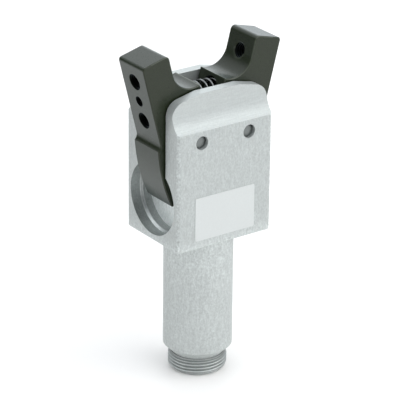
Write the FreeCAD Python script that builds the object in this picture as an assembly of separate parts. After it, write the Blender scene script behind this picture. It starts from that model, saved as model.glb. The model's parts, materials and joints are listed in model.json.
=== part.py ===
import FreeCAD, Part
import math
import os
from FreeCAD import Vector

# Angular gripper: two jaws swing on their own pins in a slotted block. Air pushes a piston and its
# cone up between the jaws' tails, which closes the jaws, and a spring between the jaws opens them.
# Millimetres. Z = 0 is the threaded end of the shank, whose axis is X = Y = 0, and the jaws swing in
# the XZ plane. The label is on the side that faces -Y. The jaws are drawn open, as they rest.

# Block
BLOCK_WIDTH = 32.0
BLOCK_DEPTH = 25.0
BLOCK_HEIGHT = 44.75
BLOCK_CORNER = 1.1
BLOCK_EDGE_BREAK = 0.3
SLOT_WIDTH = 13.0
SLOT_FLOOR_HEIGHT = 9.5
CONE_WAY_FLOOR_HEIGHT = 2.7
CHEEK_THICKNESS = 3.0
COVE_RADIUS = 7.0
COVE_HEIGHT = 34.9
CREST_WIDTH = 13.2
CREST_SLOPE = 12.6
CREST_CORNER = 4.5

# Round pockets in the two narrow sides of the block
POCKET_DIAMETER = 21.3
POCKET_MOUTH_DEPTH = 3.1
POCKET_STEP_DIAMETER = 20.0
POCKET_DEPTH = 6.2
POCKET_HEIGHT = 12.5

# Shank, its threaded end and the cylinder inside it
SHANK_DIAMETER = 20.0
SHANK_LENGTH = 35.7
SHANK_CHAMFER = 1.5
THREAD_DIAMETER = 17.0
THREAD_PITCH = 1.0
THREAD_DEPTH_PER_PITCH = 0.6134
THREAD_LENGTH = 5.3
THREAD_CHAMFER = 0.6
RELIEF_LENGTH = 1.0
RELIEF_DEPTH = 0.2
CYLINDER_BORE = 12.0
HEAD_THICKNESS = 8.0

# Pivots
PIVOT_SPACING = 16.0
PIVOT_HEIGHT = 31.5
PIN_DIAMETER = 4.0
PIN_RECESS = 1.5
PIN_CHAMFER = 0.3
PIN_CLEARANCE = 0.03
BUSH_WALL = 1.0
BUSH_END_GAP = 0.1

# Jaws, measured from the pivot with the arm upright
OPEN_ANGLE = 14.5
JAW_THICKNESS = 12.0
ARM_HEIGHT = 25.65
ARM_OFFSET = 0.3
ARM_WIDTH = 8.9
ARM_TIP_RADIUS = 1.4
ARM_HEEL_RADIUS = 0.9
THROAT_RADIUS = 6.4
SHELF_HEIGHT = 12.9
SHELF_REACH = 7.2
SHELF_UNDERSIDE = 3.6
EYE_RADIUS = 4.6
LIP_DROP = 0.1
LIP_STANDOUT = 1.15
LIP_FILLET_RADIUS = 2.0
TAIL_STANDOUT = 1.95
TOE_STANDOUT = 1.05
TOE_RADIUS = 0.9
TAIL_INSET = 1.2
NOSE_RADIUS = 1.8
NOSE_DROP = 16.5
NOSE_INSET = 0.5
EDGE_BREAK = 0.3

# Holes for fingers in the arm's outer face
SCREW_HOLE_DIAMETER = 4.2
SCREW_MOUTH_DIAMETER = 5.0
UPPER_HOLE_HEIGHT = 19.75
LOWER_HOLE_HEIGHT = 7.45
LOWER_HOLE_DEPTH = 10.0
DOWEL_DIAMETER = 3.0
DOWEL_HEIGHT = 13.6
DOWEL_DEPTH = 6.0

# Opening spring between the two shelves
SPRING_DIAMETER = 6.1
SPRING_WIRE = 0.7
SPRING_HEIGHT = 8.45
SPRING_TURNS = 5.25
SPRING_POINTS_PER_TURN = 8
SPRING_POCKET_DEPTH = 3.3
SPRING_SIDE_GAP = 0.45
SPRING_SEAT_GAP = 0.15

# Cone, rod and piston
CONE_HALF_ANGLE = 24.0
CONE_TIP_RADIUS = 1.0
CONE_DIAMETER = 12.0
CONE_SIDE_GAP = 0.4
CONE_BAND = 1.2
NOSE_GAP = 0.04
ROD_DIAMETER = 6.0
ROD_CLEARANCE = 0.03
SPIGOT_DIAMETER = 4.0
SPIGOT_LENGTH = 6.0
TENON_DIAMETER = 5.0
PISTON_CLEARANCE = 0.06
PISTON_TOP_GAP = 0.6
PISTON_CHAMFER = 0.4
SCREW_DIAMETER = 3.0
SCREW_LENGTH = 8.0
SCREW_HEAD_DIAMETER = 5.5
SCREW_HEAD_HEIGHT = 3.0
SCREW_KEY_DIAMETER = 2.9
SCREW_KEY_DEPTH = 1.5
SCREW_SINK = 0.3
PISTON_WEB = 2.0

# Seals, guide ring and wiper
SEAL_SECTION = 1.2
SEAL_GROOVE_SLACK = 0.4
SEAL_CLEARANCE = 0.02
SEAL_SETBACK = 2.0
GUIDE_WIDTH = 3.0
GUIDE_THICKNESS = 0.8
GUIDE_CLEARANCE = 0.03
GUIDE_SPLIT = 0.6
ROD_BUSH_WALL = 1.0
WIPER_WALL = 2.0
WIPER_DEPTH = 2.0
WIPER_LIP = 0.6

# End plug, its ring and the bumper on it
PLUG_LENGTH = 8.0
PLUG_SEAT = 0.5
PLUG_CLEARANCE = 0.02
PORT_DIAMETER = 4.2
PORT_MOUTH_DIAMETER = 5.2
RING_INSET = 1.2
RING_THICKNESS = 1.0
RING_BITE = 0.35
RING_WIDTH = 1.5
RING_LUG_DIAMETER = 2.6
RING_LUG_HOLE = 1.0
RING_OPENING = 52.0
RING_CLEARANCE = 0.03
BUMPER_THICKNESS = 1.5
BUMPER_BORE = 7.0
BUMPER_DIAMETER = 10.4
BUMPER_GAP = 0.1

# Label on the block's front face
LABEL_WIDTH = 20.2
LABEL_HEIGHT = 12.9
LABEL_THICKNESS = 0.12
LABEL_CORNER = 0.5
LABEL_CENTRE = 8.9

# Heights above the threaded end
RELIEF_Z = THREAD_LENGTH
CHAMFER_Z = RELIEF_Z + RELIEF_LENGTH
SHANK_Z = CHAMFER_Z + SHANK_CHAMFER
BLOCK_Z = SHANK_Z + SHANK_LENGTH
CREST_Z = BLOCK_Z + BLOCK_HEIGHT
FLOOR_Z = BLOCK_Z + CONE_WAY_FLOOR_HEIGHT
SLOT_Z = BLOCK_Z + SLOT_FLOOR_HEIGHT
COVE_Z = BLOCK_Z + COVE_HEIGHT
POCKET_Z = BLOCK_Z + POCKET_HEIGHT
PIVOT_Z = BLOCK_Z + PIVOT_HEIGHT
CYLINDER_TOP_Z = FLOOR_Z - HEAD_THICKNESS
RING_Z = RING_INSET
PLUG_Z = RING_Z + RING_THICKNESS
PLUG_TOP_Z = PLUG_Z + PLUG_LENGTH
BUMPER_TOP_Z = PLUG_TOP_Z + BUMPER_THICKNESS

# Radii and half widths that follow from the sizes above
PIVOT_X = PIVOT_SPACING / 2
ARM_OUTER = ARM_OFFSET + ARM_WIDTH
CHEEK_OUTER = SLOT_WIDTH / 2 + CHEEK_THICKNESS
THREAD_ROOT_RADIUS = THREAD_DIAMETER / 2 - THREAD_DEPTH_PER_PITCH * THREAD_PITCH
BUSH_RADIUS = PIN_DIAMETER / 2 + PIN_CLEARANCE + BUSH_WALL
CONE_RADIUS = CONE_DIAMETER / 2
CYLINDER_RADIUS = CYLINDER_BORE / 2
PLUG_BORE_RADIUS = CYLINDER_RADIUS + PLUG_SEAT
ROD_BUSH_RADIUS = ROD_DIAMETER / 2 + ROD_CLEARANCE + ROD_BUSH_WALL
WIPER_RADIUS = ROD_DIAMETER / 2 + ROD_CLEARANCE + WIPER_WALL
SPRING_POCKET_RADIUS = SPRING_DIAMETER / 2 + SPRING_SIDE_GAP

X_AXIS = Vector(1, 0, 0)
Y_AXIS = Vector(0, 1, 0)
Z_AXIS = Vector(0, 0, 1)
BEYOND = 5.0
TRAVEL_STEPS = 20


# Where the drive stands

def nose_centre(angle):
    """Distance from the shank's axis, and height, of a tail's round nose at this opening angle."""
    turn = math.radians(angle)
    inward = NOSE_INSET * math.cos(turn) + NOSE_DROP * math.sin(turn)
    below = NOSE_DROP * math.cos(turn) - NOSE_INSET * math.sin(turn)
    return PIVOT_X - inward, PIVOT_Z - below


def cone_top_at_noses(angle):
    """Height of the cone's tip when its flank stands NOSE_GAP off both noses."""
    slope = math.radians(CONE_HALF_ANGLE)
    away, height = nose_centre(angle)
    reach = (away - CONE_TIP_RADIUS) * math.cos(slope) - NOSE_RADIUS - NOSE_GAP
    return height + reach / math.sin(slope)


def travel_lead():
    """How far a cone that rises in step with the jaws' angle gets ahead of the noses on its way."""
    opened_top = cone_top_at_noses(OPEN_ANGLE)
    closed_top = cone_top_at_noses(0.0)
    leads = []
    for step in range(TRAVEL_STEPS + 1):
        share = step / TRAVEL_STEPS
        in_step = opened_top + (closed_top - opened_top) * share
        leads.append(in_step - cone_top_at_noses(OPEN_ANGLE * (1 - share)))
    return max(leads)


CONE_FLANK = (CONE_RADIUS - CONE_TIP_RADIUS) / math.tan(math.radians(CONE_HALF_ANGLE))
CONE_TOP_Z = cone_top_at_noses(OPEN_ANGLE) - travel_lead()
CONE_BASE_Z = CONE_TOP_Z - CONE_FLANK - CONE_BAND
STROKE = cone_top_at_noses(0.0) - cone_top_at_noses(OPEN_ANGLE)
PISTON_TOP_Z = CYLINDER_TOP_Z - PISTON_TOP_GAP - STROKE
PISTON_Z = BUMPER_TOP_Z + BUMPER_GAP
PISTON_RADIUS = CYLINDER_RADIUS - PISTON_CLEARANCE
SCREW_SEAT_Z = PISTON_Z + SCREW_SINK + SCREW_HEAD_HEIGHT
TENON_Z = SCREW_SEAT_Z + PISTON_WEB


# Shapes used by several pieces

def cylinder(radius, bottom, top):
    return Part.makeCylinder(radius, top - bottom, Vector(0, 0, bottom))


def tube(outer, inner, bottom, top):
    return cylinder(outer, bottom, top).cut(cylinder(inner, bottom - BEYOND, top + BEYOND))


def turned(points):
    """Solid turned about the shank's axis from (radius, height) points."""
    corners = [Vector(radius, 0, height) for radius, height in points]
    face = Part.Face(Part.makePolygon(corners + corners[:1]))
    return face.revolve(Vector(0, 0, 0), Z_AXIS, 360)


def ring_of_round_section(centre_radius, section_radius, height):
    return Part.makeTorus(centre_radius, section_radius, Vector(0, 0, height), Z_AXIS)


def corner_arc(before, corner, after, radius):
    """The arc that rounds a corner between two straight runs: its start, middle and end."""
    back = (before - corner).normalize()
    ahead = (after - corner).normalize()
    half = back.getAngle(ahead) / 2
    reach = radius / math.tan(half)
    bisector = (back + ahead).normalize()
    centre = corner + bisector * (radius / math.sin(half))
    return corner + back * reach, centre - bisector * radius, corner + ahead * reach


def mirrored(shape):
    return shape.mirror(Vector(0, 0, 0), X_AXIS)


def opened(shape, side):
    """Turn a piece drawn for an upright right jaw to rest, and mirror it for the left one."""
    turned_out = shape.copy()
    turned_out.rotate(Vector(PIVOT_X, 0, PIVOT_Z), Y_AXIS, OPEN_ANGLE)
    return turned_out if side == "right" else mirrored(turned_out)


# Body

def block_blank():
    corner = Vector(-BLOCK_WIDTH / 2, -BLOCK_DEPTH / 2, BLOCK_Z)
    blank = Part.makeBox(BLOCK_WIDTH, BLOCK_DEPTH, BLOCK_HEIGHT, corner)
    upright = [edge for edge in blank.Edges if abs(edge.tangentAt(edge.FirstParameter).z) > 0.5]
    rounded = blank.makeFillet(BLOCK_CORNER, upright)
    lower = [edge for edge in rounded.Edges if edge.BoundBox.ZMax < BLOCK_Z + BLOCK_EDGE_BREAK]
    return rounded.makeChamfer(BLOCK_EDGE_BREAK, lower)


def crest_outline():
    """What the block keeps, seen along Y: a flat crest, two slopes and two round shoulders."""
    half = BLOCK_WIDTH / 2
    fall = (half - CREST_WIDTH / 2) * math.tan(math.radians(CREST_SLOPE))
    low = Vector(half, 0, BLOCK_Z - BEYOND)
    shoulder = Vector(half, 0, CREST_Z - fall)
    crest = Vector(CREST_WIDTH / 2, 0, CREST_Z)
    start, middle, end = corner_arc(low, shoulder, crest, CREST_CORNER)
    right = [
        Part.LineSegment(low, start).toShape(),
        Part.Arc(start, middle, end).toShape(),
        Part.LineSegment(end, crest).toShape(),
    ]
    left = [mirrored(edge) for edge in right]
    top = Part.makeLine(crest, Vector(-crest.x, 0, crest.z))
    base = Part.makeLine(low, Vector(-low.x, 0, low.z))
    return Part.Face(Part.Wire(Part.__sortEdges__(right + left + [top, base])))


def cove_cutter():
    """What is milled off the -Y side above the cove's sharp line, as a profile run along X."""
    overhang = BLOCK_DEPTH / 2 - CHEEK_OUTER
    rise = math.sqrt(COVE_RADIUS ** 2 - (COVE_RADIUS - overhang) ** 2)
    turn = math.atan2(rise, COVE_RADIUS - overhang) / 2
    centre = Vector(-BLOCK_WIDTH, -CHEEK_OUTER - COVE_RADIUS, COVE_Z + rise)
    line = Vector(-BLOCK_WIDTH, -BLOCK_DEPTH / 2, COVE_Z)
    wall = centre + Vector(0, COVE_RADIUS, 0)
    middle = centre + Vector(0, math.cos(turn), -math.sin(turn)) * COVE_RADIUS
    top = CREST_Z + BEYOND
    outside = -BLOCK_DEPTH / 2 - BEYOND
    inner_top = Vector(wall.x, wall.y, top)
    outer_top = Vector(wall.x, outside, top)
    corners = [wall, inner_top, outer_top, Vector(wall.x, outside, COVE_Z), line]
    edges = [Part.makeLine(a, b) for a, b in zip(corners, corners[1:])]
    edges.append(Part.Arc(line, middle, wall).toShape())
    face = Part.Face(Part.Wire(Part.__sortEdges__(edges)))
    return face.extrude(Vector(2 * BLOCK_WIDTH, 0, 0))


def side_pocket():
    """Stepped round pocket in the +X side, with a bevel of 45 degrees between its two diameters."""
    outer = POCKET_DIAMETER / 2
    inner = POCKET_STEP_DIAMETER / 2
    bevel = outer - inner
    face = BLOCK_WIDTH / 2
    step = face - POCKET_MOUTH_DEPTH
    mouth = Part.makeCylinder(outer, POCKET_MOUTH_DEPTH + BEYOND, Vector(step, 0, POCKET_Z), X_AXIS)
    slope = Part.makeCone(inner, outer, bevel, Vector(step - bevel, 0, POCKET_Z), X_AXIS)
    deep = Part.makeCylinder(inner, POCKET_DEPTH, Vector(face - POCKET_DEPTH, 0, POCKET_Z), X_AXIS)
    return deep.fuse([mouth, slope])


def shank():
    root = THREAD_ROOT_RADIUS
    relief = root - RELIEF_DEPTH
    radius = SHANK_DIAMETER / 2
    return turned([
        (0, 0), (root - THREAD_CHAMFER, 0), (root, THREAD_CHAMFER), (root, RELIEF_Z), (relief, RELIEF_Z),
        (relief, CHAMFER_Z), (radius - SHANK_CHAMFER, CHAMFER_Z), (radius, SHANK_Z), (radius, BLOCK_Z),
        (0, BLOCK_Z),
    ])


def bored_out():
    """The hollow along the shank's axis, from the plug's seat up to the cone's way under the slot."""
    plug_bore = cylinder(PLUG_BORE_RADIUS, -BEYOND, PLUG_TOP_Z)
    ring_groove = cylinder(PLUG_BORE_RADIUS + RING_BITE, RING_Z, PLUG_Z)
    barrel = cylinder(CYLINDER_RADIUS, PLUG_TOP_Z, CYLINDER_TOP_Z)
    bush_bore = cylinder(ROD_BUSH_RADIUS, CYLINDER_TOP_Z, FLOOR_Z)
    wiper_bore = cylinder(WIPER_RADIUS, FLOOR_Z - WIPER_DEPTH, FLOOR_Z)
    cone_way = cylinder(CONE_RADIUS + CONE_SIDE_GAP, FLOOR_Z, CONE_TOP_Z + STROKE)
    return plug_bore.fuse([ring_groove, barrel, bush_bore, wiper_bore, cone_way])


def body():
    crest = crest_outline().extrude(Vector(0, BLOCK_DEPTH, 0))
    crest.translate(Vector(0, -BLOCK_DEPTH / 2, 0))
    block = block_blank().common(crest)
    near_cove = cove_cutter()
    far_cove = near_cove.mirror(Vector(0, 0, 0), Y_AXIS)
    slot_corner = Vector(-BLOCK_WIDTH, -SLOT_WIDTH / 2, SLOT_Z)
    slot = Part.makeBox(2 * BLOCK_WIDTH, SLOT_WIDTH, BLOCK_HEIGHT, slot_corner)
    pocket = side_pocket()
    cuts = [near_cove, far_cove, slot, pocket, mirrored(pocket), bored_out()]
    for x in (-PIVOT_X, PIVOT_X):
        start = Vector(x, -BLOCK_DEPTH, PIVOT_Z)
        cuts.append(Part.makeCylinder(PIN_DIAMETER / 2, 2 * BLOCK_DEPTH, start, Y_AXIS))
    return block.fuse(shank()).cut(cuts).removeSplitter()


# Jaws

def jaw_outline():
    """Outline of an upright right jaw: arm, throat, shelf, eye, tail with its nose, and the lip."""
    tail_low = -NOSE_DROP - NOSE_RADIUS
    fillet_rise = math.sqrt(LIP_FILLET_RADIUS ** 2 - (LIP_FILLET_RADIUS - LIP_STANDOUT) ** 2)
    half_turn = math.atan2(fillet_rise, LIP_FILLET_RADIUS - LIP_STANDOUT) / 2

    def at(outward, up):
        return Vector(PIVOT_X + outward, 0, PIVOT_Z + up)

    top_outer = at(ARM_OUTER, ARM_HEIGHT)
    top_inner = at(ARM_OFFSET, ARM_HEIGHT)
    fillet_centre = at(ARM_OUTER + LIP_FILLET_RADIUS, fillet_rise - LIP_DROP)
    fillet_top = at(ARM_OUTER, fillet_rise - LIP_DROP)
    fillet_middle = fillet_centre - Vector(math.cos(half_turn), 0, math.sin(half_turn)) * LIP_FILLET_RADIUS
    lip = at(ARM_OUTER + LIP_STANDOUT, -LIP_DROP)
    tail_middle = at(ARM_OUTER + TAIL_STANDOUT, (tail_low - LIP_DROP) / 2)
    toe = at(ARM_OUTER + TOE_STANDOUT, tail_low)
    nose_low = at(-NOSE_INSET, tail_low)
    nose_rise = math.sqrt(NOSE_RADIUS ** 2 - (TAIL_INSET - NOSE_INSET) ** 2)
    nose_top = at(-TAIL_INSET, -NOSE_DROP + nose_rise)
    eye_low = at(-TAIL_INSET, -math.sqrt(EYE_RADIUS ** 2 - TAIL_INSET ** 2))
    eye_top = at(-math.sqrt(EYE_RADIUS ** 2 - SHELF_UNDERSIDE ** 2), SHELF_UNDERSIDE)
    shelf_low = at(-SHELF_REACH, SHELF_UNDERSIDE)
    shelf_top = at(-SHELF_REACH, SHELF_HEIGHT)
    throat_low = at(ARM_OFFSET - THROAT_RADIUS, SHELF_HEIGHT)
    throat_top = at(ARM_OFFSET, SHELF_HEIGHT + THROAT_RADIUS)
    throat_bow = THROAT_RADIUS * math.sqrt(0.5)
    throat_middle = at(ARM_OFFSET - THROAT_RADIUS + throat_bow, SHELF_HEIGHT + THROAT_RADIUS - throat_bow)
    heel = corner_arc(fillet_top, top_outer, top_inner, ARM_HEEL_RADIUS)
    tip = corner_arc(top_outer, top_inner, throat_top, ARM_TIP_RADIUS)
    line = Part.makeLine
    edges = [
        line(fillet_top, heel[0]),
        Part.Arc(*heel).toShape(),
        line(heel[2], tip[0]),
        Part.Arc(*tip).toShape(),
        line(tip[2], throat_top),
        Part.Arc(throat_top, throat_middle, throat_low).toShape(),
        line(throat_low, shelf_top),
        line(shelf_top, shelf_low),
        line(shelf_low, eye_top),
        Part.Arc(eye_top, at(-EYE_RADIUS, 0), eye_low).toShape(),
        line(eye_low, nose_top),
        Part.Arc(nose_top, at(-NOSE_INSET - NOSE_RADIUS, -NOSE_DROP), nose_low).toShape(),
        line(nose_low, toe),
        Part.Arc(toe, tail_middle, lip).toShape(),
        Part.Arc(lip, fillet_middle, fillet_top).toShape(),
    ]
    return Part.Face(Part.Wire(edges))


def finger_hole(height, diameter, depth):
    """Round hole into the arm's outer face, as deep as given."""
    mouth = Vector(PIVOT_X + ARM_OUTER, 0, PIVOT_Z + height)
    return Part.makeCylinder(diameter / 2, depth + BEYOND, mouth + X_AXIS * BEYOND, X_AXIS * -1)


def screw_mouth(height, outward, facing):
    """Countersink of a screw hole at a face of the arm that looks along facing."""
    sink = (SCREW_MOUTH_DIAMETER - SCREW_HOLE_DIAMETER) / 2
    bottom = Vector(PIVOT_X + outward, 0, PIVOT_Z + height) - facing * sink
    return Part.makeCone(SCREW_HOLE_DIAMETER / 2, SCREW_MOUTH_DIAMETER / 2, sink, bottom, facing)


def upright_jaw():
    jaw = jaw_outline().extrude(Vector(0, JAW_THICKNESS, 0))
    jaw.translate(Vector(0, -JAW_THICKNESS / 2, 0))
    toe = Vector(PIVOT_X + ARM_OUTER + TOE_STANDOUT, 0, PIVOT_Z - NOSE_DROP - NOSE_RADIUS)
    jaw = jaw.makeFillet(TOE_RADIUS, [edge for edge in jaw.Edges if (edge.CenterOfMass - toe).Length < 0.001])
    rim = [edge for edge in jaw.Edges if abs(abs(edge.CenterOfMass.y) - JAW_THICKNESS / 2) < 0.001]
    jaw = jaw.makeChamfer(EDGE_BREAK, rim)
    pocket_mouth = Vector(PIVOT_X - SHELF_REACH - BEYOND, 0, PIVOT_Z + SPRING_HEIGHT)
    cuts = [
        Part.makeCylinder(BUSH_RADIUS, 2 * JAW_THICKNESS, Vector(PIVOT_X, -JAW_THICKNESS, PIVOT_Z), Y_AXIS),
        Part.makeCylinder(SPRING_POCKET_RADIUS, SPRING_POCKET_DEPTH + BEYOND, pocket_mouth, X_AXIS),
        finger_hole(UPPER_HOLE_HEIGHT, SCREW_HOLE_DIAMETER, ARM_WIDTH + BEYOND),
        finger_hole(LOWER_HOLE_HEIGHT, SCREW_HOLE_DIAMETER, LOWER_HOLE_DEPTH),
        finger_hole(DOWEL_HEIGHT, DOWEL_DIAMETER, DOWEL_DEPTH),
        screw_mouth(UPPER_HOLE_HEIGHT, ARM_OUTER, X_AXIS),
        screw_mouth(UPPER_HOLE_HEIGHT, ARM_OFFSET, X_AXIS * -1),
        screw_mouth(LOWER_HOLE_HEIGHT, ARM_OUTER, X_AXIS),
    ]
    return jaw.cut(cuts)


def upright_bush():
    length = SLOT_WIDTH - 2 * BUSH_END_GAP
    start = Vector(PIVOT_X, -length / 2, PIVOT_Z)
    outer = Part.makeCylinder(BUSH_RADIUS, length, start, Y_AXIS)
    return outer.cut(Part.makeCylinder(BUSH_RADIUS - BUSH_WALL, length, start, Y_AXIS))


def pivot_pin(x):
    length = BLOCK_DEPTH - 2 * PIN_RECESS
    pin = Part.makeCylinder(PIN_DIAMETER / 2, length, Vector(x, -length / 2, PIVOT_Z), Y_AXIS)
    return pin.makeChamfer(PIN_CHAMFER, [edge for edge in pin.Edges if edge.isClosed()])


# Opening spring

def jaw_spring():
    """Coil spring bowed between the two seats, which lean by the opening angle when the jaws are open."""
    turn = math.radians(OPEN_ANGLE)
    inward = SHELF_REACH - SPRING_POCKET_DEPTH + SPRING_SEAT_GAP
    seat_x = PIVOT_X - inward * math.cos(turn) + SPRING_HEIGHT * math.sin(turn)
    seat_z = PIVOT_Z + inward * math.sin(turn) + SPRING_HEIGHT * math.cos(turn)
    bow = seat_x / math.sin(turn)
    centre = Vector(0, 0, seat_z - bow * math.cos(turn))
    radius = (SPRING_DIAMETER - SPRING_WIRE) / 2
    half_length = bow * turn - SPRING_WIRE / 2
    pitch = (2 * half_length - 2 * SPRING_WIRE) / SPRING_TURNS
    turns = SPRING_TURNS + 2
    count = int(round(turns * SPRING_POINTS_PER_TURN))
    points = []
    for step in range(count + 1):
        along = turns * step / count
        closed_turns = min(along, 1.0) + max(along - (turns - 1), 0.0)
        open_turns = min(max(along - 1.0, 0.0), SPRING_TURNS)
        place = closed_turns * SPRING_WIRE + open_turns * pitch - half_length
        lean = place / bow
        out = Vector(math.sin(lean), 0, math.cos(lean))
        spin = 2 * math.pi * along
        coil = out * (radius * math.cos(spin)) - Y_AXIS * (radius * math.sin(spin))
        points.append(centre + out * bow + coil)
    curve = Part.BSplineCurve()
    curve.interpolate(points)
    path = Part.Wire(curve.toShape())
    section = Part.Wire(Part.makeCircle(SPRING_WIRE / 2, points[0], curve.tangent(curve.FirstParameter)[0]))
    return path.makePipeShell([section], True, True)


# Drive

def drive_cone():
    slope_in = PISTON_CHAMFER
    return turned([
        (0, CONE_BASE_Z + SPIGOT_LENGTH), (SPIGOT_DIAMETER / 2, CONE_BASE_Z + SPIGOT_LENGTH),
        (SPIGOT_DIAMETER / 2, CONE_BASE_Z), (CONE_RADIUS - slope_in, CONE_BASE_Z),
        (CONE_RADIUS, CONE_BASE_Z + slope_in), (CONE_RADIUS, CONE_BASE_Z + CONE_BAND),
        (CONE_TIP_RADIUS, CONE_TOP_Z), (0, CONE_TOP_Z),
    ])


def piston_rod():
    radius = ROD_DIAMETER / 2
    top = CONE_BASE_Z
    rod = turned([
        (0, TENON_Z), (TENON_DIAMETER / 2, TENON_Z), (TENON_DIAMETER / 2, PISTON_TOP_Z),
        (radius, PISTON_TOP_Z), (radius, top), (SPIGOT_DIAMETER / 2, top),
        (SPIGOT_DIAMETER / 2, top + SPIGOT_LENGTH), (0, top + SPIGOT_LENGTH),
    ])
    return rod.cut(cylinder(SCREW_DIAMETER / 2, SCREW_SEAT_Z - BEYOND, SCREW_SEAT_Z + SCREW_LENGTH))


def piston():
    seal_z = PISTON_Z + SEAL_SETBACK
    seal_floor = CYLINDER_RADIUS - SEAL_CLEARANCE - SEAL_SECTION - SEAL_CLEARANCE
    seal_width = SEAL_SECTION + SEAL_GROOVE_SLACK
    guide_z = PISTON_TOP_Z - SEAL_SETBACK - GUIDE_WIDTH
    guide_floor = CYLINDER_RADIUS - GUIDE_CLEARANCE - GUIDE_THICKNESS
    edge = PISTON_CHAMFER
    blank = turned([
        (0, PISTON_Z), (PISTON_RADIUS - edge, PISTON_Z), (PISTON_RADIUS, PISTON_Z + edge),
        (PISTON_RADIUS, seal_z), (seal_floor, seal_z), (seal_floor, seal_z + seal_width),
        (PISTON_RADIUS, seal_z + seal_width),
        (PISTON_RADIUS, guide_z), (guide_floor, guide_z), (guide_floor, guide_z + GUIDE_WIDTH),
        (PISTON_RADIUS, guide_z + GUIDE_WIDTH), (PISTON_RADIUS, PISTON_TOP_Z - edge),
        (PISTON_RADIUS - edge, PISTON_TOP_Z), (0, PISTON_TOP_Z),
    ])
    tenon_bore = cylinder(TENON_DIAMETER / 2, TENON_Z, PISTON_TOP_Z + BEYOND)
    screw_bore = cylinder(SCREW_DIAMETER / 2 + PISTON_CLEARANCE, PISTON_Z, PISTON_TOP_Z)
    head_bore = cylinder(SCREW_HEAD_DIAMETER / 2 + PISTON_CLEARANCE, PISTON_Z - BEYOND, SCREW_SEAT_Z)
    return blank.cut([tenon_bore, screw_bore, head_bore])


def piston_seal():
    section = SEAL_SECTION / 2
    height = PISTON_Z + SEAL_SETBACK + (SEAL_SECTION + SEAL_GROOVE_SLACK) / 2
    return ring_of_round_section(CYLINDER_RADIUS - SEAL_CLEARANCE - section, section, height)


def guide_ring():
    top = PISTON_TOP_Z - SEAL_SETBACK
    outer = CYLINDER_RADIUS - GUIDE_CLEARANCE
    ring = tube(outer, outer - GUIDE_THICKNESS, top - GUIDE_WIDTH, top)
    split_corner = Vector(0, -GUIDE_SPLIT / 2, top - 1.5 * GUIDE_WIDTH)
    split = Part.makeBox(2 * outer, GUIDE_SPLIT, 2 * GUIDE_WIDTH, split_corner)
    return ring.cut(split)


def piston_screw():
    head_low = SCREW_SEAT_Z - SCREW_HEAD_HEIGHT
    head = cylinder(SCREW_HEAD_DIAMETER / 2, head_low, SCREW_SEAT_Z)
    thread = cylinder(SCREW_DIAMETER / 2, SCREW_SEAT_Z, SCREW_SEAT_Z + SCREW_LENGTH)
    corners = []
    for corner in range(7):
        turn = math.radians(60 * corner)
        outward = Vector(math.cos(turn), math.sin(turn), 0) * (SCREW_KEY_DIAMETER / 2)
        corners.append(outward + Z_AXIS * head_low)
    key = Part.Face(Part.makePolygon(corners)).extrude(Z_AXIS * SCREW_KEY_DEPTH)
    return head.fuse(thread).cut(key)


def rod_bush():
    return tube(ROD_BUSH_RADIUS, ROD_BUSH_RADIUS - ROD_BUSH_WALL, CYLINDER_TOP_Z, FLOOR_Z - WIPER_DEPTH)


def rod_wiper():
    """Elastomer ring at the floor of the slot, thinned to a lip where it wipes the rod."""
    bottom = FLOOR_Z - WIPER_DEPTH
    inner = WIPER_RADIUS - WIPER_WALL
    return turned([
        (inner + WIPER_LIP, bottom), (WIPER_RADIUS, bottom), (WIPER_RADIUS, FLOOR_Z),
        (inner, FLOOR_Z), (inner, FLOOR_Z - WIPER_LIP),
    ])


# Lower end

def end_plug():
    outer = PLUG_BORE_RADIUS - PLUG_CLEARANCE
    groove_floor = PLUG_BORE_RADIUS - SEAL_CLEARANCE - SEAL_SECTION - SEAL_CLEARANCE
    groove_width = SEAL_SECTION + SEAL_GROOVE_SLACK
    groove_z = (PLUG_Z + PLUG_TOP_Z - groove_width) / 2
    port = PORT_DIAMETER / 2
    mouth = PORT_MOUTH_DIAMETER / 2
    return turned([
        (mouth, PLUG_Z), (outer, PLUG_Z), (outer, groove_z), (groove_floor, groove_z),
        (groove_floor, groove_z + groove_width), (outer, groove_z + groove_width), (outer, PLUG_TOP_Z),
        (port, PLUG_TOP_Z), (port, PLUG_Z + mouth - port),
    ])


def plug_seal():
    section = SEAL_SECTION / 2
    height = (PLUG_Z + PLUG_TOP_Z) / 2
    return ring_of_round_section(PLUG_BORE_RADIUS - SEAL_CLEARANCE - section, section, height)


def bumper():
    return tube(BUMPER_DIAMETER / 2, BUMPER_BORE / 2, PLUG_TOP_Z, BUMPER_TOP_Z)


def retaining_ring():
    """Internal spring ring: a band that bites into the groove, open at -Y between two eyed lugs."""
    top = PLUG_Z
    bottom = RING_Z + RING_CLEARANCE
    outer = PLUG_BORE_RADIUS + RING_BITE - RING_CLEARANCE
    lug = RING_LUG_DIAMETER / 2
    lug_centre = PLUG_BORE_RADIUS - PLUG_CLEARANCE - lug
    band = tube(outer, outer - RING_WIDTH, bottom, top)
    half = math.radians(RING_OPENING / 2)
    reach = 2 * outer
    wedge = Part.makePolygon([
        Vector(0, 0, bottom), Vector(-reach * math.sin(half), -reach * math.cos(half), bottom),
        Vector(reach * math.sin(half), -reach * math.cos(half), bottom), Vector(0, 0, bottom),
    ])
    ring = band.cut(Part.Face(wedge).extrude(Z_AXIS * (top - bottom)))
    for side in (-1, 1):
        place = Vector(side * lug_centre * math.sin(half), -lug_centre * math.cos(half), bottom)
        ring = ring.fuse(Part.makeCylinder(lug, top - bottom, place))
        ring = ring.cut(Part.makeCylinder(RING_LUG_HOLE / 2, top - bottom, place))
    return ring.removeSplitter()


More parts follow.
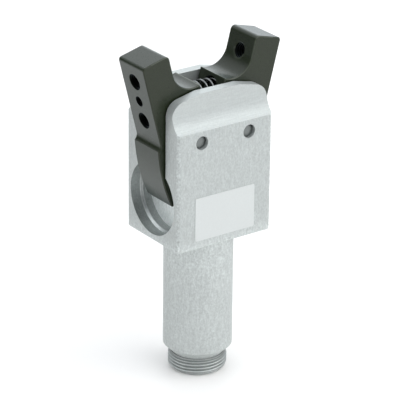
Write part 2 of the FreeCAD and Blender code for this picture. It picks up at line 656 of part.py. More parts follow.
def label():
    low_z = BLOCK_Z + LABEL_CENTRE - LABEL_HEIGHT / 2
    low = Vector(-LABEL_WIDTH / 2, -BLOCK_DEPTH / 2 - LABEL_THICKNESS, low_z)
    plate = Part.makeBox(LABEL_WIDTH, LABEL_THICKNESS, LABEL_HEIGHT, low)
    corners = [edge for edge in plate.Edges if abs(edge.tangentAt(edge.FirstParameter).y) > 0.5]
    return plate.makeFillet(LABEL_CORNER, corners)


def main():
    jaw = upright_jaw()
    bush = upright_bush()
    pieces = {
        "body": body(),
        "jaw_left": opened(jaw, "left"),
        "jaw_right": opened(jaw, "right"),
        "pivot_bush_left": opened(bush, "left"),
        "pivot_bush_right": opened(bush, "right"),
        "pivot_pin_left": pivot_pin(-PIVOT_X),
        "pivot_pin_right": pivot_pin(PIVOT_X),
        "jaw_spring": jaw_spring(),
        "drive_cone": drive_cone(),
        "piston_rod": piston_rod(),
        "piston": piston(),
        "piston_screw": piston_screw(),
        "piston_seal": piston_seal(),
        "guide_ring": guide_ring(),
        "rod_bush": rod_bush(),
        "rod_wiper": rod_wiper(),
        "end_plug": end_plug(),
        "plug_seal": plug_seal(),
        "retaining_ring": retaining_ring(),
        "bumper": bumper(),
        "label": label(),
    }
    os.makedirs("parts", exist_ok=True)
    for name, shape in pieces.items():
        shape.exportStep("parts/" + name + ".step")
    return pieces


main()
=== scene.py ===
import json
import math

import bmesh
import bpy
from mathutils import Matrix, Vector


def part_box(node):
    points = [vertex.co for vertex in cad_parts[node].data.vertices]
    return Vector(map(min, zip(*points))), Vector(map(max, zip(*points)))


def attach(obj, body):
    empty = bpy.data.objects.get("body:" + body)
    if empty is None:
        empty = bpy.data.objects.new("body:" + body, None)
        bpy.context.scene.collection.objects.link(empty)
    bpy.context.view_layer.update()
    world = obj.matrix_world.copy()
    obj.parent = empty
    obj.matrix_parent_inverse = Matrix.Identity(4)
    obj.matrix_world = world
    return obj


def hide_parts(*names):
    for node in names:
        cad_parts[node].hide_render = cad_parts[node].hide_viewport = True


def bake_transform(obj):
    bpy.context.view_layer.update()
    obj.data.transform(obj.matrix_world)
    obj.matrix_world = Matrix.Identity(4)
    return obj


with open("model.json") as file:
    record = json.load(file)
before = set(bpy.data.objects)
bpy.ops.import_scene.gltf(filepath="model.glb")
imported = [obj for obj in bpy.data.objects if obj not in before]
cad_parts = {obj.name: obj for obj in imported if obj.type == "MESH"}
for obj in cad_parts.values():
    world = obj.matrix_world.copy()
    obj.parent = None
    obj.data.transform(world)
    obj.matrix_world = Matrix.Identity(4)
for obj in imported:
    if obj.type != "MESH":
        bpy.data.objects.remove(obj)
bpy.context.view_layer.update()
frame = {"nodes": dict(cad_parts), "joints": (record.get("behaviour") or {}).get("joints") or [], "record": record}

# Lengths are in metres, in the frame of the model: the shank's axis is X = Y = 0, the threaded end
# stands at Z = 0, the jaws open along X and the label faces -Y.
MM = 0.001

# Camera, as fitted to the edges of the block in the photograph, with its angles in degrees
PHOTO_SIDE = 400
LOOK_AT = Vector((0, 0, 50 * MM))
LOOK_AT_PIXEL = (198.75, 205.69)
CAMERA_AZIMUTH = 35.58
CAMERA_ELEVATION = 23.39
CAMERA_ROLL = 0.62
CAMERA_DISTANCE = 691.4 * MM
CAMERA_CLIP = (0.01, 10)
FOCAL_PIXELS = 2444.3
SENSOR = 36.0

# Floor, a little darker round the foot, where its colour paints a soft shadow
FLOOR_RADIUS = 0.42
FLOOR_SIDES = 96
FLOOR_COLOUR = (1.0, 0.985, 0.965)
FLOOR_ROUGHNESS = 0.9
FLOOR_LIGHT = 0.98
FLOOR_TONE_IN_PAINTED_SHADOW = 0.96
FLOOR_PAINTED_SHADOW_FADE = (15 * MM, 40 * MM)

# World: its light at heights from level (0) to overhead (1), and the dark side with its soft edges
WORLD_COLOUR = (1.0, 1.03, 1.07)
WORLD_LEVELS = ((0.0, 1.0), (0.05, 1.0), (0.14, 0.15), (0.35, 0.25), (0.55, 1.0), (1.0, 1.2))
DARK_SIDE = (-0.662, 0.749, 0.0)
DARK_SIDE_LIGHT = 0.04
DARK_SIDE_EDGE = (0.80, 0.95)
DARK_SIDE_BOTTOM = (-0.17, -0.11)
DARK_SIDE_TOP = (0.30, 0.50)

# Lamps: name, place, side, power in watts and colour
LAMPS = (
    ("key", (0.34, -0.62, 0.58), 1.0, 3.1, (1.0, 1.0, 1.0)),
    ("top", (0.50, -0.30, 0.72), 0.4, 0.4, (1.0, 1.0, 0.93)),
    ("left", (-0.72, 0.30, 0.45), 0.35, 0.4, (1.0, 1.0, 1.0)),
    ("back", (0.48, 0.62, 0.36), 0.5, 1.2, (0.95, 1.0, 1.02)),
)

# Colours of the surfaces that the photograph shows
ALUMINIUM = (0.53, 0.56, 0.55)
DARK_ANODISED = (0.011, 0.017, 0.004)
# Painted highlight for the jaws' edges and the screw holes' rims
PAINTED_EDGE_HIGHLIGHT = (0.035, 0.038, 0.032)
ANODISED_SHEEN = (0.75, 0.9, 1.0, 1)
THREAD_COLOUR = (0.60, 0.63, 0.62)
PIN_COLOUR = (0.21, 0.225, 0.22)
LABEL_COLOUR = (0.635, 0.66, 0.65)

# Where the body's finish changes: milled above the coves' lower lines, turned in the side pockets, which take
# painted light and shade, grittier along the upright corners of the block, with specks of painted sparkle
# highlight, and lighter on the shank, most right under the block, both from painted light
COVE_LINE = 78.4 * MM
POCKET_HEIGHT = 56.0 * MM
POCKET_RADIUS = 10.65 * MM
POCKET_STEP_RADIUS = 10.0 * MM
POCKET_FLOOR = 9.8 * MM
POCKET_SHADE_BOTTOM = POCKET_HEIGHT - 0.85 * POCKET_RADIUS
POCKET_SHADE_TOP = POCKET_HEIGHT - 0.6 * POCKET_RADIUS
BLOCK_SIDE = 16.0 * MM
BLOCK_BOTTOM = 43.5 * MM
SHANK_FADE = 4 * MM
SHANK_PAINTED_LIGHT_REACH = 16 * MM
CORNER_REACH = 1.0 * MM
CORNER_FADE = 0.2 * MM
FINISH_STEP = 0.05 * MM

# Finger holes of the right jaw, which the left jaw mirrors, and their screw threads
FINGER_HOLES = ("finger_screw_upper_right", "finger_screw_lower_right", "finger_dowel_right")
SCREW_PITCH = 0.8 * MM
SCREW_DEPTH = 0.5 * MM
# Painted shade makes each screw hole black out to its mouth, and a painted highlight lightens a thin rim round it
SCREW_MOUTH_RADIUS = 2.4 * MM
SCREW_RIM_RADIUS = 2.55 * MM

# Painted highlights on the edges of the jaws: round their throats, and at the end of their shelves,
# which reach this far inward and up from the pivots
EDGE_WIDTH = 0.3 * MM
SHELF_REACH = 7.2 * MM
SHELF_HEIGHT = 12.9 * MM

# Pivot pins: a small flat is left in the middle of the domed ends
PIN_RECESS = 0.7 * MM
PIN_DOME = 0.3 * MM
PIN_DOME_RINGS = 6
PIN_DOME_FLAT = 0.05
PIN_CHAMFER = 0.3 * MM
PIN_STEPS_ROUND = 64
PIN_SHARP_ANGLE = 30

# Thread on the lower end: crest and root are shares of the pitch, and the start one of a turn
THREAD_PITCH = 1.0 * MM
THREAD_DEPTH = 0.6134 * THREAD_PITCH
THREAD_CREST_SHARE = 0.125
THREAD_ROOT_SHARE = 0.25
THREAD_FADE = 0.5 * MM
THREAD_NECK = 0.45 * MM
THREAD_RUN_OUT = 0.25 * MM
THREAD_START = 0.59
THREAD_BACKING = 0.2 * MM
THREAD_STEPS_ROUND = 180
THREAD_STEPS_PER_PITCH = 16

# Jaw spring: the open turns, and a closed turn at each end. Its seats are placed from the pivots.
SPRING_DIAMETER = 6.1 * MM
SPRING_WIRE = 0.7 * MM
SPRING_TURNS = 5.5
SPRING_END_TURNS = 1
SPRING_HEIGHT = 8.45 * MM
SPRING_SEAT = 4.05 * MM
SPRING_STEPS_PER_TURN = 32
SPRING_WIRE_SIDES = 3

NODE_MATERIALS = {
    "body": "blasted_aluminium",
    "label": "label_foil",
    "jaw_left": "hard_anodised",
    "jaw_right": "hard_anodised",
    "pivot_pin_left": "pin_steel",
    "pivot_pin_right": "pin_steel",
    "pivot_bush_left": "bearing_bronze",
    "pivot_bush_right": "bearing_bronze",
    "rod_bush": "bearing_bronze",
    "rod_wiper": "black_rubber",
    "end_plug": "turned_aluminium",
    "plug_seal": "black_rubber",
    "retaining_ring": "ring_steel",
    "bumper": "black_rubber",
    "jaw_spring": "spring_wire",
    "drive_cone": "hardened_steel",
    "piston_rod": "hard_chrome",
    "piston": "turned_aluminium",
    "piston_screw": "black_screw",
    "piston_seal": "black_rubber",
    "guide_ring": "guide_plastic",
}

# The materials made below, by name. The record's own materials may share a name with them.
finishes = {}


# What the frame holds

def mount(name):
    return next(entry for entry in frame["record"]["mounts"] if entry["name"] == name)


def joint(name):
    return next(entry for entry in frame["joints"] if entry["name"] == name)


def open_jaw():
    """Pivot of the right jaw, and the angle by which its arm leans out at rest."""
    hinge = joint("jaw_right_pivot")
    return Vector(hinge["pos_m"]), math.radians(hinge["range_deg"][1])


# Camera and studio

def place_camera():
    azimuth = math.radians(CAMERA_AZIMUTH)
    elevation = math.radians(CAMERA_ELEVATION)
    roll = math.radians(CAMERA_ROLL)
    level = math.cos(elevation)
    back = Vector((-math.sin(azimuth) * level, -math.cos(azimuth) * level, math.sin(elevation)))
    right = Vector((math.cos(azimuth), -math.sin(azimuth), 0))
    up = back.cross(right)
    rolled_right = right * math.cos(roll) + up * math.sin(roll)
    rolled_up = back.cross(rolled_right)
    turn = Matrix((rolled_right, rolled_up, back)).transposed()
    camera = bpy.data.objects.new("camera", bpy.data.cameras.new("camera"))
    bpy.context.scene.collection.objects.link(camera)
    camera.matrix_world = Matrix.Translation(LOOK_AT + back * CAMERA_DISTANCE) @ turn.to_4x4()
    camera.data.sensor_width = SENSOR
    camera.data.lens = FOCAL_PIXELS / PHOTO_SIDE * SENSOR
    camera.data.shift_x = (PHOTO_SIDE / 2 - LOOK_AT_PIXEL[0]) / PHOTO_SIDE
    camera.data.shift_y = (LOOK_AT_PIXEL[1] - PHOTO_SIDE / 2) / PHOTO_SIDE
    camera.data.clip_start, camera.data.clip_end = CAMERA_CLIP
    bpy.context.scene.camera = camera


def make_lamp(name, place, side, power, colour):
    """Square lamp that shines at the block."""
    data = bpy.data.lights.new(name, "AREA")
    data.size = side
    data.energy = power
    data.color = colour
    lamp = bpy.data.objects.new(name, data)
    lamp.location = place
    lamp.rotation_mode = "QUATERNION"
    lamp.rotation_quaternion = (Vector(place) - LOOK_AT).to_track_quat("Z", "Y")
    bpy.context.scene.collection.objects.link(lamp)


def make_floor():
    mesh = bpy.data.meshes.new("floor")
    disc = bmesh.new()
    bmesh.ops.create_circle(disc, cap_ends=True, segments=FLOOR_SIDES, radius=FLOOR_RADIUS)
    disc.to_mesh(mesh)
    disc.free()
    floor = bpy.data.objects.new("floor", mesh)
    bpy.context.scene.collection.objects.link(floor)
    tree, shader = new_material("floor_white")
    across, along = coordinates(tree)[:2]
    away = radius_about(tree, across, along)
    # Painted shadow: the floor's colour darkens round the foot
    light = spread(tree, away, FLOOR_TONE_IN_PAINTED_SHADOW, FLOOR_LIGHT, *FLOOR_PAINTED_SHADOW_FADE)
    connect(tree, shader, {"Base Color": shade(tree, FLOOR_COLOUR, light), "Roughness": FLOOR_ROUGHNESS})
    mesh.materials.append(finishes["floor_white"])


def make_world():
    """White all round and overhead, less light above the horizon, and one dark side behind the left jaw."""
    world = bpy.data.worlds.new("studio")
    world.use_nodes = True
    tree = world.node_tree
    tree.nodes.clear()
    direction = add(tree, "ShaderNodeTexCoord").outputs["Generated"]
    height = add(tree, "ShaderNodeSeparateXYZ", {"Vector": direction}).outputs["Z"]
    ramp = add(tree, "ShaderNodeValToRGB", {"Fac": height})
    set_ramp(ramp, [(place, (*(light * part for part in WORLD_COLOUR), 1)) for place, light in WORLD_LEVELS])
    level = vector_maths(tree, "NORMALIZE", vector_maths(tree, "MULTIPLY", direction, (1, 1, 0)))
    towards = add(tree, "ShaderNodeVectorMath", {0: level, 1: DARK_SIDE}, operation="DOT_PRODUCT")
    dark = product(
        tree,
        spread(tree, towards.outputs["Value"], 0.0, 1.0, *DARK_SIDE_EDGE),
        spread(tree, height, 0.0, 1.0, *DARK_SIDE_BOTTOM),
        spread(tree, height, 1.0, 0.0, *DARK_SIDE_TOP),
    )
    light = shade(tree, ramp.outputs["Color"], mix(tree, dark, 1.0, DARK_SIDE_LIGHT))
    background = add(tree, "ShaderNodeBackground", {"Color": light, "Strength": 1.0})
    add(tree, "ShaderNodeOutputWorld", {"Surface": background.outputs[0]})
    bpy.context.scene.world = world


def make_studio():
    bpy.context.scene.view_settings.view_transform = "Standard"
    make_world()
    make_floor()
    for lamp in LAMPS:
        make_lamp(*lamp)


# Node building

def connect(tree, node, inputs):
    """Set a node's inputs to values, or link them to sockets."""
    for name, value in inputs.items():
        if isinstance(value, bpy.types.NodeSocket):
            tree.links.new(value, node.inputs[name])
        else:
            node.inputs[name].default_value = value


def add(tree, kind, inputs=None, **settings):
    """New node of that kind."""
    made = tree.nodes.new(kind)
    for name, value in settings.items():
        setattr(made, name, value)
    connect(tree, made, inputs or {})
    return made


def set_ramp(ramp, stops):
    """Colour stops of a ramp node, as (position, rgba)."""
    elements = ramp.color_ramp.elements
    while len(elements) < len(stops):
        elements.new(1.0)
    for element, (place, colour) in zip(elements, stops):
        element.position = place
        element.color = colour


def new_material(name):
    material = bpy.data.materials.new(name)
    material.use_nodes = True
    finishes[name] = material
    tree = material.node_tree
    return tree, tree.nodes["Principled BSDF"]


def maths(tree, operation, *values, clamp=False):
    inputs = dict(enumerate(values))
    return add(tree, "ShaderNodeMath", inputs, operation=operation, use_clamp=clamp).outputs[0]


def vector_maths(tree, operation, *values):
    inputs = dict(enumerate(values))
    return add(tree, "ShaderNodeVectorMath", inputs, operation=operation).outputs[0]


def product(tree, value, *factors):
    for factor in factors:
        value = maths(tree, "MULTIPLY", value, factor)
    return value


def spread(tree, value, low, high, from_low=0.3, from_high=0.7):
    """Value stretched from a range, by default a noise's usual one, to low..high, and held at its ends."""
    inputs = {"Value": value, "From Min": from_low, "From Max": from_high, "To Min": low, "To Max": high}
    return add(tree, "ShaderNodeMapRange", inputs).outputs["Result"]


def mix(tree, share, first, second):
    """From the first value to the second as the share goes from 0 to 1."""
    return spread(tree, share, first, second, 0.0, 1.0)


def under(tree, value, limit):
    """1 where a value is under the limit and 0 where it is over, with a narrow step between."""
    return spread(tree, value, 1.0, 0.0, limit, limit + FINISH_STEP)


def coordinates(tree):
    """The three object coordinates as separate values."""
    where = add(tree, "ShaderNodeTexCoord").outputs["Object"]
    return add(tree, "ShaderNodeSeparateXYZ", {"Vector": where}).outputs[:3]


def radius_about(tree, across, up, centre_across=0.0, centre_up=0.0):
    """Distance from an axis, from the two coordinates across it."""
    aside = maths(tree, "SUBTRACT", across, centre_across)
    above = maths(tree, "SUBTRACT", up, centre_up)
    squares = maths(tree, "ADD", product(tree, aside, aside), product(tree, above, above))
    return maths(tree, "SQRT", squares)


def place_in_object(tree, stretch=(1, 1, 1)):
    """Object coordinates, squeezed along the axes where the pattern is drawn out."""
    where = add(tree, "ShaderNodeTexCoord").outputs["Object"]
    return vector_maths(tree, "MULTIPLY", where, stretch)


def noise(tree, where, size, detail=2.0, rough=0.5):
    inputs = {"Vector": where, "Scale": 1 / size, "Detail": detail, "Roughness": rough}
    return add(tree, "ShaderNodeTexNoise", inputs).outputs["Fac"]


def shade(tree, colour, factor):
    """Colour multiplied by a grey factor."""
    grey = add(tree, "ShaderNodeCombineXYZ", {"X": factor, "Y": factor, "Z": factor}).outputs[0]
    return vector_maths(tree, "MULTIPLY", grey, colour)


def bump(tree, shader, height, depth, strength):
    inputs = {"Height": height, "Distance": depth, "Strength": strength}
    connect(tree, shader, {"Normal": add(tree, "ShaderNodeBump", inputs).outputs["Normal"]})


# Aluminium of the body

def blasted_tone(tree, height, speckle, grit):
    """Tone of the blasted skin: grit and painted light on the shank, with the most painted light right under the
    block, where it hides the block's shadow.
    """
    grain = noise(tree, place_in_object(tree, (1, 1, 0.25)), 0.7 * MM)
    on_shank = spread(tree, height, 1.0, 0.0, BLOCK_BOTTOM, BLOCK_BOTTOM + SHANK_FADE)
    # Painted light: lightest right under the block, to hide the block's shadow on the shank
    painted_light_below_block = spread(tree, height, 0.0, 1.0, BLOCK_BOTTOM - SHANK_PAINTED_LIGHT_REACH, BLOCK_BOTTOM)
    painted_light_below_block = product(tree, painted_light_below_block, on_shank)
    return product(
        tree,
        spread(tree, speckle, 0.82, 1.13),
        spread(tree, grain, 0.93, 1.05),
        # Grit on the shank, and painted light that lifts its tone
        mix(tree, on_shank, 1.0, spread(tree, grit, 0.99, 1.11)),
        mix(tree, painted_light_below_block, 1.0, spread(tree, grit, 1.05, 1.2)),
    )


def pocket_shares(tree, side, along, height):
    """1 or 0 for the side pockets' turned skin, their step, their narrow part and its floor."""
    from_pocket = radius_about(tree, along, height, 0.0, POCKET_HEIGHT)
    in_bore = under(tree, from_pocket, POCKET_RADIUS)
    turned = product(tree, in_bore, under(tree, side, BLOCK_SIDE - FINISH_STEP))
    narrow = product(tree, turned, under(tree, from_pocket, POCKET_STEP_RADIUS + FINISH_STEP))
    floor = product(tree, narrow, under(tree, side, POCKET_FLOOR))
    step = product(tree, turned, under(tree, from_pocket, POCKET_RADIUS - 2 * FINISH_STEP))
    step = maths(tree, "SUBTRACT", step, narrow, clamp=True)
    return turned, step, narrow, floor


def pocket_painted_light(tree, height, step, narrow, floor):
    """Painted light and shade in the side pockets: a painted highlight low on the step that turns into painted
    shade upwards, painted shade on the narrow inner wall and painted light on the floor.
    """
    step_painted_light = spread(tree, height, 1.1, 0.5, POCKET_SHADE_BOTTOM, POCKET_SHADE_TOP)
    tone = mix(tree, step, 1.0, step_painted_light)
    tone = mix(tree, narrow, tone, 0.75)
    return mix(tree, floor, tone, 1.8)


def corner_share(tree, side, along):
    """1 along the block's upright corners, fading to 0 away from them, where the grit is coarser and its whitish
    specks paint the rounded edges' sparkle highlight.
    """
    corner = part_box("body")[1]
    front = maths(tree, "ABSOLUTE", along)
    short_of_corner = maths(tree, "SUBTRACT", corner.x + corner.y, maths(tree, "ADD", side, front))
    return spread(tree, short_of_corner, 1.0, 0.0, CORNER_REACH - CORNER_FADE, CORNER_REACH)


def blasted_aluminium():
    """Clear-anodised aluminium: blasted outside, milled with streaks along X above the coves' lower
    lines, and turned smooth in the side pockets."""
    tree, shader = new_material("blasted_aluminium")
    across, along, height = coordinates(tree)
    side = maths(tree, "ABSOLUTE", across)
    where = place_in_object(tree)
    speckle = noise(tree, place_in_object(tree, (1, 1, 0.6)), 0.4 * MM, 4.0, 0.65)
    grit = noise(tree, where, 0.6 * MM)
    cloud = noise(tree, where, 9 * MM)
    streak = noise(tree, place_in_object(tree, (0.05, 1, 1)), 0.25 * MM, 3.0)
    streaked = product(tree, spread(tree, speckle, 0.92, 1.05), spread(tree, streak, 0.94, 1.05))
    milled = spread(tree, height, 0.0, 1.0, COVE_LINE, COVE_LINE + FINISH_STEP)
    turned, step, narrow, floor = pocket_shares(tree, side, along, height)
    tone = product(
        tree,
        mix(tree, milled, blasted_tone(tree, height, speckle, grit), streaked),
        spread(tree, cloud, 0.985, 1.015),
        # Coarser grit along the upright corners, partly a painted sparkle highlight
        mix(tree, corner_share(tree, side, along), 1.0, spread(tree, grit, 0.84, 1.22)),
        # Painted light and shade in the side pockets
        pocket_painted_light(tree, height, step, narrow, floor),
    )
    rough = mix(tree, milled, spread(tree, speckle, 0.52, 0.66), 0.5)
    connect(tree, shader, {
        "Base Color": shade(tree, ALUMINIUM, tone),
        "Roughness": mix(tree, turned, rough, 0.42),
        "Metallic": mix(tree, turned, 0.55, mix(tree, floor, 0.9, 0.55)),
    })
    bump(tree, shader, speckle, 0.02 * MM, 0.5)


# Dark skin of the jaws

def jaw_coordinates(tree):
    """Coordinates square to the jaws' arms, the same for both: outward and up from the pivot, and along Y."""
    across, along, height = coordinates(tree)
    pivot, lean = open_jaw()
    aside = maths(tree, "SUBTRACT", maths(tree, "ABSOLUTE", across), pivot.x)
    above = maths(tree, "SUBTRACT", height, pivot.z)
    outward = product(tree, aside, math.cos(lean))
    outward = maths(tree, "SUBTRACT", outward, product(tree, above, math.sin(lean)))
    up = product(tree, aside, math.sin(lean))
    up = maths(tree, "ADD", up, product(tree, above, math.cos(lean)))
    return outward, up, along


def place_on_arm(place):
    """How far outward and up the right arm a point of the frame lies, from the pivot."""
    pivot, lean = open_jaw()
    away = Vector(place) - pivot
    outward = Vector((math.cos(lean), 0, -math.sin(lean)))
    up = Vector((math.sin(lean), 0, math.cos(lean)))
    return away.dot(outward), away.dot(up)


def screw_ridge(tree, outward, aside, above):
    """Height, from 0 to 0.5, of a screw thread that winds outward round an axis."""
    turn = maths(tree, "ARCTAN2", aside, above)
    phase = maths(tree, "DIVIDE", turn, 2 * math.pi)
    phase = maths(tree, "ADD", phase, maths(tree, "DIVIDE", outward, SCREW_PITCH))
    return maths(tree, "PINGPONG", phase, 0.5)


def finger_holes(tree, outward, up, along):
    """1 or 0 for the inside of the finger holes, which take painted shade, and for the rims of the screw holes,
    which take a painted highlight, and the height of the screw threads."""
    hollow = 0.0
    rim = 0.0
    ridge = 0.0
    for name in FINGER_HOLES:
        seat = mount(name)
        middle, centre = place_on_arm(seat["pos_m"])
        bottom = middle - seat["dims"]["length_mm"] * MM / 2 - FINISH_STEP
        past_bottom = spread(tree, outward, 0.0, 1.0, bottom - FINISH_STEP, bottom)
        away = radius_about(tree, up, along, centre, 0.0)
        threaded = seat["kind"] == "threaded_hole"
        mouth = SCREW_MOUTH_RADIUS if threaded else seat["dims"]["r_mm"] * MM + FINISH_STEP
        inside = product(tree, past_bottom, under(tree, away, mouth))
        hollow = maths(tree, "MAXIMUM", hollow, inside)
        if threaded:
            rim = maths(tree, "MAXIMUM", rim, under(tree, away, SCREW_RIM_RADIUS))
            crest = screw_ridge(tree, outward, along, maths(tree, "SUBTRACT", up, centre))
            ridge = maths(tree, "MAXIMUM", ridge, product(tree, crest, inside))
    rim = maths(tree, "SUBTRACT", rim, hollow, clamp=True)
    return hollow, rim, ridge


def jaw_painted_highlights(tree, outward, up, along, rim):
    """Painted highlights: along the edges of the throat and the shelf, and on the screw holes' rims."""
    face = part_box("jaw_right")[1].y
    arm_middle = place_on_arm(mount("finger_dowel_right")["pos_m"])[0]
    front = maths(tree, "ABSOLUTE", along)
    edge = product(
        tree,
        spread(tree, front, 0.0, 1.0, face - EDGE_WIDTH, face - EDGE_WIDTH / 2),
        under(tree, front, face - FINISH_STEP),
        under(tree, outward, arm_middle),
    )
    shelf_edge = product(
        tree,
        under(tree, outward, EDGE_WIDTH - SHELF_REACH),
        spread(tree, up, 0.0, 1.0, SHELF_HEIGHT - EDGE_WIDTH, SHELF_HEIGHT),
    )
    highlight_share = maths(tree, "MAXIMUM", edge, product(tree, rim, 0.6))
    return maths(tree, "MAXIMUM", highlight_share, product(tree, shelf_edge, 3.0))


def hard_anodised():
    """Dark hard-anodised aluminium: a satin skin, holes made black by painted shade, and edges and screw holes'
    rims made lighter by painted highlights.
    """
    tree, shader = new_material("hard_anodised")
    where = place_in_object(tree)
    speckle = noise(tree, where, 0.35 * MM, 3.0, 0.6)
    cloud = noise(tree, where, 6 * MM)
    outward, up, along = jaw_coordinates(tree)
    hollow, rim, ridge = finger_holes(tree, outward, up, along)
    tone = product(
        tree,
        spread(tree, speckle, 0.88, 1.12),
        spread(tree, cloud, 0.94, 1.06),
        # Painted shade: the insides of the holes turn black
        mix(tree, hollow, 1.0, 0.15),
    )
    dark = shade(tree, DARK_ANODISED, tone)
    # Painted highlights on the edges of the throat and the shelf, and on the screw holes' rims
    highlit_edges = shade(tree, PAINTED_EDGE_HIGHLIGHT, jaw_painted_highlights(tree, outward, up, along, rim))
    connect(tree, shader, {
        "Base Color": vector_maths(tree, "ADD", dark, highlit_edges),
        "Roughness": mix(tree, hollow, spread(tree, speckle, 0.26, 0.36), 0.9),
        "Metallic": hollow,
        "Specular IOR Level": 0.42,
        "Sheen Weight": 0.24,
        "Sheen Roughness": 0.4,
        "Sheen Tint": ANODISED_SHEEN,
    })
    relief = maths(tree, "ADD", product(tree, speckle, 0.01 * MM), product(tree, ridge, SCREW_DEPTH))
    bump(tree, shader, relief, 1.0, 0.5)


# Other materials

def turning_marks(tree):
    """Noise drawn out into fine rings round the shank's axis."""
    return noise(tree, place_in_object(tree, (0.15, 0.15, 1)), 0.12 * MM)


def turned_metal(name, colour, roughness):
    """Turned metal with fine rings round the shank's axis."""
    tree, shader = new_material(name)
    rings = turning_marks(tree)
    connect(tree, shader, {
        "Base Color": shade(tree, colour, spread(tree, rings, 0.9, 1.06)),
        "Roughness": spread(tree, rings, roughness - 0.05, roughness + 0.06),
        "Metallic": 1.0,
    })
    bump(tree, shader, rings, 0.004 * MM, 0.4)


def threaded_metal():
    """Turned aluminium of the outer thread, with painted shade down in its roots."""
    tree, shader = new_material("threaded_aluminium")
    across, along = coordinates(tree)[:2]
    root = mount("threaded_end")["dims"]["r_mm"] * MM
    # Painted shade: darker towards the thread's roots
    root_painted_shade = spread(tree, radius_about(tree, across, along), 0.6, 1.0, root, root + THREAD_DEPTH)
    rings = turning_marks(tree)
    tone = product(tree, spread(tree, rings, 0.9, 1.06), root_painted_shade)
    connect(tree, shader, {
        "Base Color": shade(tree, THREAD_COLOUR, tone),
        "Roughness": 0.38,
        "Metallic": 1.0,
    })
    bump(tree, shader, rings, 0.004 * MM, 0.4)


def ground_steel(name, colour, roughness):
    """Steel with a fine all-over grain, as on wire, rings and screws."""
    tree, shader = new_material(name)
    grain = noise(tree, place_in_object(tree), 0.15 * MM, 3.0)
    connect(tree, shader, {
        "Base Color": shade(tree, colour, spread(tree, grain, 0.9, 1.08)),
        "Roughness": spread(tree, grain, roughness - 0.05, roughness + 0.07),
        "Metallic": 1.0,
    })
    bump(tree, shader, grain, 0.003 * MM, 0.3)


def pin_steel():
    """Ground steel of the pivot pins, with painted shade on the chamfer round each end."""
    tree, shader = new_material("pin_steel")
    across, height = coordinates(tree)[::2]
    pivot = open_jaw()[0]
    low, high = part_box("pivot_pin_right")
    flat = (high.x - low.x) / 2 - PIN_CHAMFER
    away = radius_about(tree, maths(tree, "ABSOLUTE", across), height, pivot.x, pivot.z)
    # Painted shade on the chamfer
    chamfer_painted_shade = spread(tree, away, 1.0, 0.3, flat, flat + FINISH_STEP)
    grain = noise(tree, place_in_object(tree), 0.15 * MM, 3.0)
    tone = product(tree, spread(tree, grain, 0.9, 1.08), chamfer_painted_shade)
    connect(tree, shader, {
        "Base Color": shade(tree, PIN_COLOUR, tone),
        "Roughness": spread(tree, grain, 0.38, 0.48),
        "Metallic": 1.0,
    })
    bump(tree, shader, grain, 0.003 * MM, 0.3)


def moulded(name, colour, roughness):
    """Rubber or plastic with a faint matt grain."""
    tree, shader = new_material(name)
    skin = noise(tree, place_in_object(tree), 0.2 * MM)
    connect(tree, shader, {
        "Base Color": shade(tree, colour, spread(tree, skin, 0.93, 1.07)),
        "Roughness": spread(tree, skin, roughness - 0.05, roughness + 0.05),
    })
    bump(tree, shader, skin, 0.006 * MM, 0.3)


def label_foil():
    """Bare satin foil plate."""
    tree, shader = new_material("label_foil")
    fibre = noise(tree, place_in_object(tree), 0.4 * MM)
    connect(tree, shader, {
        "Base Color": shade(tree, LABEL_COLOUR, spread(tree, fibre, 0.985, 1.015)),
        "Roughness": spread(tree, fibre, 0.45, 0.52),
    })
    bump(tree, shader, fibre, 0.004 * MM, 0.2)


def make_materials():
    blasted_aluminium()
    hard_anodised()
    threaded_metal()
    pin_steel()
    label_foil()
    turned_metal("turned_aluminium", (0.62, 0.64, 0.65), 0.34)
    turned_metal("hard_chrome", (0.72, 0.73, 0.74), 0.14)
    turned_metal("hardened_steel", (0.36, 0.36, 0.37), 0.30)
    turned_metal("bearing_bronze", (0.52, 0.36, 0.18), 0.42)
    ground_steel("spring_wire", (0.24, 0.25, 0.25), 0.26)
    ground_steel("black_screw", (0.06, 0.06, 0.065), 0.45)
    ground_steel("ring_steel", (0.30, 0.30, 0.31), 0.40)
    moulded("black_rubber", (0.02, 0.02, 0.02), 0.6)
    moulded("guide_plastic", (0.42, 0.38, 0.28), 0.5)


def dress_nodes():
    for node, material in NODE_MATERIALS.items():
        mesh = frame["nodes"][node].data
        mesh.materials.clear()
        mesh.materials.append(finishes[material])


# Pieces that the solids keep plain

def add_piece(name, mesh, material):
    mesh.materials.clear()
    mesh.materials.append(finishes[material])
    piece = bpy.data.objects.new(name, mesh)
    bpy.context.scene.collection.objects.link(piece)
    for face in mesh.polygons:
        face.use_smooth = True
    return piece


def join_rings(form, rings, turned_over=False):
    """Faces between each ring of points and the next."""
    for lower, upper in zip(rings, rings[1:]):
        for step in range(len(lower)):
            after = (step + 1) % len(lower)
            corners = (lower[step], lower[after], upper[after], upper[step])
            if turned_over:
                corners = corners[:1] + corners[:0:-1]
            form.faces.new(corners)


def mesh_of(form, name):
    """Mesh with the faces of a finished form."""
    mesh = bpy.data.meshes.new(name)
    form.to_mesh(mesh)
    form.free()
    return mesh


def thread_height(height, turn):
    """Height of the thread over its root at this height along the shank and share of a turn."""
    phase = (height / THREAD_PITCH - turn + THREAD_START) % 1.0
    from_crest = abs(phase - 0.5) * 2
    rise = (1 - from_crest - THREAD_ROOT_SHARE) / (1 - THREAD_ROOT_SHARE - THREAD_CREST_SHARE)
    return THREAD_DEPTH * min(max(rise, 0), 1)


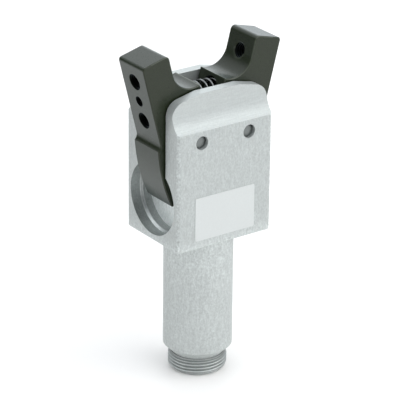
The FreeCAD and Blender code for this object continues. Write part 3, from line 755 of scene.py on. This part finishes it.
def make_thread():
    """Closed sleeve round the threaded end: one helical ridge, faded out below, and a smooth neck above."""
    seat = mount("threaded_end")
    root = seat["dims"]["r_mm"] * MM
    half = seat["dims"]["length_mm"] * MM / 2
    low = seat["pos_m"][2] - half
    high = seat["pos_m"][2] + half
    rows = int(round((high - low) / THREAD_PITCH * THREAD_STEPS_PER_PITCH))
    inside = root - THREAD_BACKING
    levels = [(low + (high - low) * row / rows, root) for row in range(rows + 1)]
    levels = [(low, inside)] + levels + [(high, inside)]
    sleeve = bmesh.new()
    rings = []
    for height, foot in levels:
        run_out = max(0, (high - THREAD_NECK - height) / THREAD_RUN_OUT)
        fade = min(1, (height - low) / THREAD_FADE, run_out) if foot == root else 0
        ring = []
        for step in range(THREAD_STEPS_ROUND):
            turn = step / THREAD_STEPS_ROUND
            radius = foot + fade * thread_height(height, turn)
            angle = 2 * math.pi * turn
            ring.append(sleeve.verts.new((radius * math.cos(angle), radius * math.sin(angle), height)))
        rings.append(ring)
    join_rings(sleeve, rings + rings[:1])
    mesh = mesh_of(sleeve, "thread_ridge")
    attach(add_piece("thread_ridge", mesh, "threaded_aluminium"), "body")


def spring_point(turns, side):
    """Centre of the wire this many turns from the middle of the bowed spring."""
    pivot, lean = open_jaw()
    seat_x = pivot.x - SPRING_SEAT * math.cos(lean) + SPRING_HEIGHT * math.sin(lean)
    seat_z = pivot.z + SPRING_SEAT * math.sin(lean) + SPRING_HEIGHT * math.cos(lean)
    bow = seat_x / math.sin(lean)
    half_length = bow * lean - SPRING_WIRE / 2
    pitch = 2 * (half_length - SPRING_END_TURNS * SPRING_WIRE) / SPRING_TURNS
    open_turns = min(turns, SPRING_TURNS / 2)
    along_bow = side * (open_turns * pitch + (turns - open_turns) * SPRING_WIRE) / bow
    out = Vector((math.sin(along_bow), 0, math.cos(along_bow)))
    centre = Vector((0, 0, seat_z - bow * math.cos(lean)))
    spin = 2 * math.pi * (SPRING_TURNS / 2 + SPRING_END_TURNS + side * turns)
    radius = (SPRING_DIAMETER - SPRING_WIRE) / 2
    return centre + out * (bow + radius * math.cos(spin)) - Vector((0, radius * math.sin(spin), 0))


def make_spring_half(name, side):
    """Coils from the middle of the spring to its seat in one jaw."""
    turns = SPRING_TURNS / 2 + SPRING_END_TURNS
    count = int(turns * SPRING_STEPS_PER_TURN)
    curve = bpy.data.curves.new(name, "CURVE")
    curve.dimensions = "3D"
    curve.bevel_depth = SPRING_WIRE / 2
    curve.bevel_resolution = SPRING_WIRE_SIDES
    curve.use_fill_caps = True
    line = curve.splines.new("POLY")
    line.points.add(count)
    for step, point in enumerate(line.points):
        point.co = (*spring_point(turns * step / count, side), 1)
    holder = bpy.data.objects.new(name + "_line", curve)
    mesh = bpy.data.meshes.new_from_object(holder)
    bpy.data.objects.remove(holder)
    mesh.name = name
    piece = add_piece(name, mesh, "spring_wire")
    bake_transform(piece)
    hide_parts("jaw_spring")


def pin_profile(radius, half):
    """Half the outline of a pin, as (distance from its axis, place along it) from end to end."""
    flat = radius - PIN_CHAMFER
    profile = [(radius, half - PIN_DOME - PIN_CHAMFER)]
    for ring in range(PIN_DOME_RINGS + 1):
        share = 1 - (1 - PIN_DOME_FLAT) * ring / PIN_DOME_RINGS
        profile.append((flat * share, half - PIN_DOME * share ** 2))
    return [(away, -along) for away, along in reversed(profile)] + profile


def make_pin(name, side):
    """Pivot pin with chamfered and domed ends, a little below the two faces of the block."""
    pivot = Vector(joint("jaw_" + side + "_pivot")["pos_m"])
    low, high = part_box("pivot_pin_" + side)
    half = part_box("body")[1].y - PIN_RECESS
    pin = bmesh.new()
    rings = []
    for away, along in pin_profile((high.x - low.x) / 2, half):
        ring = []
        for step in range(PIN_STEPS_ROUND):
            angle = 2 * math.pi * step / PIN_STEPS_ROUND
            place = pivot + Vector((away * math.cos(angle), along, away * math.sin(angle)))
            ring.append(pin.verts.new(place))
        rings.append(ring)
    join_rings(pin, rings, turned_over=True)
    pin.faces.new(rings[0])
    pin.faces.new(rings[-1][::-1])
    mesh = mesh_of(pin, name)
    piece = add_piece(name, mesh, "pin_steel")
    mesh.set_sharp_from_angle(angle=math.radians(PIN_SHARP_ANGLE))
    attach(piece, "body")
    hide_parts("pivot_pin_" + side)


place_camera()
make_studio()
make_materials()
dress_nodes()
make_thread()
make_spring_half("spring_left", -1)
make_spring_half("spring_right", 1)
make_pin("pin_left", "left")
make_pin("pin_right", "right")
